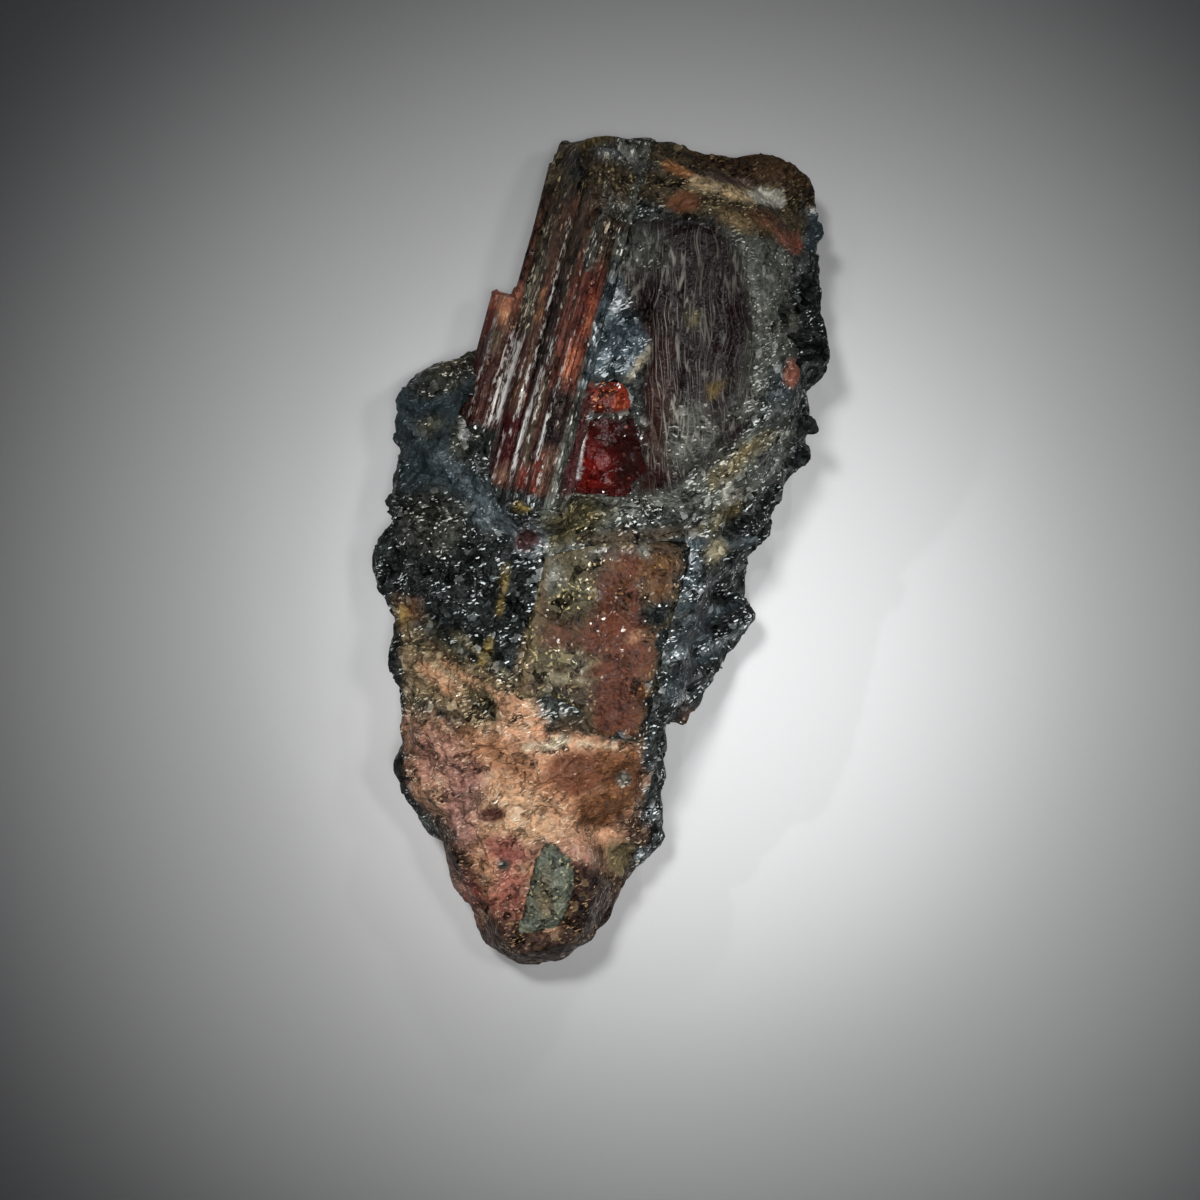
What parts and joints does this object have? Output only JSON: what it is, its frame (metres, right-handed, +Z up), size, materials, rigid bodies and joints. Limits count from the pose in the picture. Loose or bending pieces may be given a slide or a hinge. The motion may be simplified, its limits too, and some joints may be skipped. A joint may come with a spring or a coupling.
{
  "type": "rhodonite mineral specimen",
  "caption": "Rhodonite specimen: elongated dark galena rock with wine-red and brown rhodonite crystals and a pink granular end, lying on its flat broken back.",
  "frame": {"origin": "centre of the bounding box, on the flat broken back that the specimen lies on", "axes": "+Y along the specimen from the granular tip to the broken top, +X to its right, +Z up, out of the face that shows the crystals"},
  "size_m": [0.0496, 0.0897, 0.0325],
  "materials": {
    "galena": "broken metallic lead-grey cleavage chips, running into salmon-pink sugary rhodonite grains at the tip",
    "wine_rhodonite": "glassy striated blades, wine red to brown, orange where light comes through",
    "plum_rhodonite": "smooth dark plum face drawn over with fine wavy silvery lines",
    "red_rhodonite": "glassy deep red crystal with an orange bar along its upper edge",
    "brown_rhodonite": "satin reddish-brown slab with rust-orange rims and an olive side",
    "green_silicate": "fine-grained dull grey-green"
  },
  "bodies": {
    "root": {"galena_matrix": "galena", "striated_crystal": "wine_rhodonite", "lined_crystal": "plum_rhodonite", "red_crystal": "red_rhodonite", "brown_crystal": "brown_rhodonite", "green_wedge": "green_silicate"}
  },
  "joints": []
}
